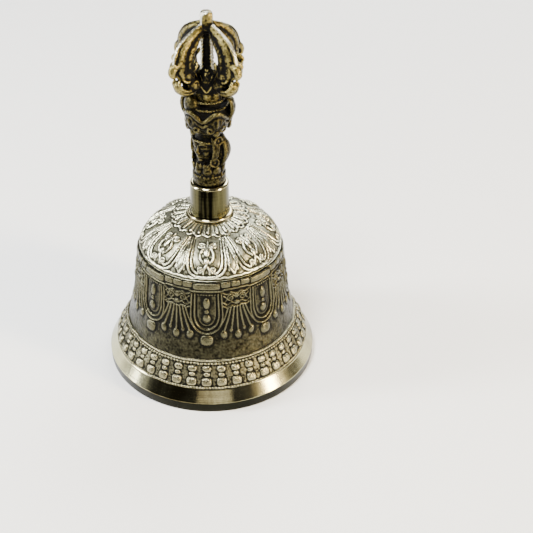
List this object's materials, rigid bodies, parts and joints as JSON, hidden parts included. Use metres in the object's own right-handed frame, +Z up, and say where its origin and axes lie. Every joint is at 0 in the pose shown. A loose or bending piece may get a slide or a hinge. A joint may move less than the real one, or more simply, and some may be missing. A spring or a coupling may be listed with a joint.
{
  "type": "ritual hand bell",
  "caption": "Cast brass hand bell with a flared rim, a half-vajra handle and a clapper hung on a ring, standing on its rim.",
  "frame": {"origin": "centre of the circle on which the rim stands, on the ground plane", "axes": "+Z up the handle's axis; -Y is the front, to which the carved face half turns; the clapper's wide swing is along X"},
  "size_m": [0.09, 0.09, 0.1552],
  "materials": {
    "bell_bronze": "antiqued cast relief with dark patina in the recesses and a polished rim",
    "polished_brass": "turned and polished",
    "handle_brass": "dark antiqued casting with rubbed edges",
    "fastener_steel": "plain, slightly dulled",
    "clapper_brass": "turned, slightly dulled"
  },
  "bodies": {
    "bell": {"bell_shell": "bell_bronze", "ferrule": "polished_brass", "figure_casting": "handle_brass", "vajra_casting": "handle_brass", "tie_stud": "fastener_steel", "crown_washer": "fastener_steel", "crown_nut": "fastener_steel"},
    "ring": {"clapper_ring": "fastener_steel"},
    "clapper": {"clapper_rod": "fastener_steel", "clapper_ball": "clapper_brass"}
  },
  "joints": [
    {"name": "ring_swing", "type": "hinge", "parent": "bell", "child": "ring", "pos_m": [0, 0, 0.0532], "axis": [1, 0, 0], "range_deg": [-12, 12]},
    {"name": "clapper_swing", "type": "hinge", "parent": "ring", "child": "clapper", "pos_m": [0, 0, 0.0482], "axis": [0, 1, 0], "range_deg": [-45, 45]}
  ]
}
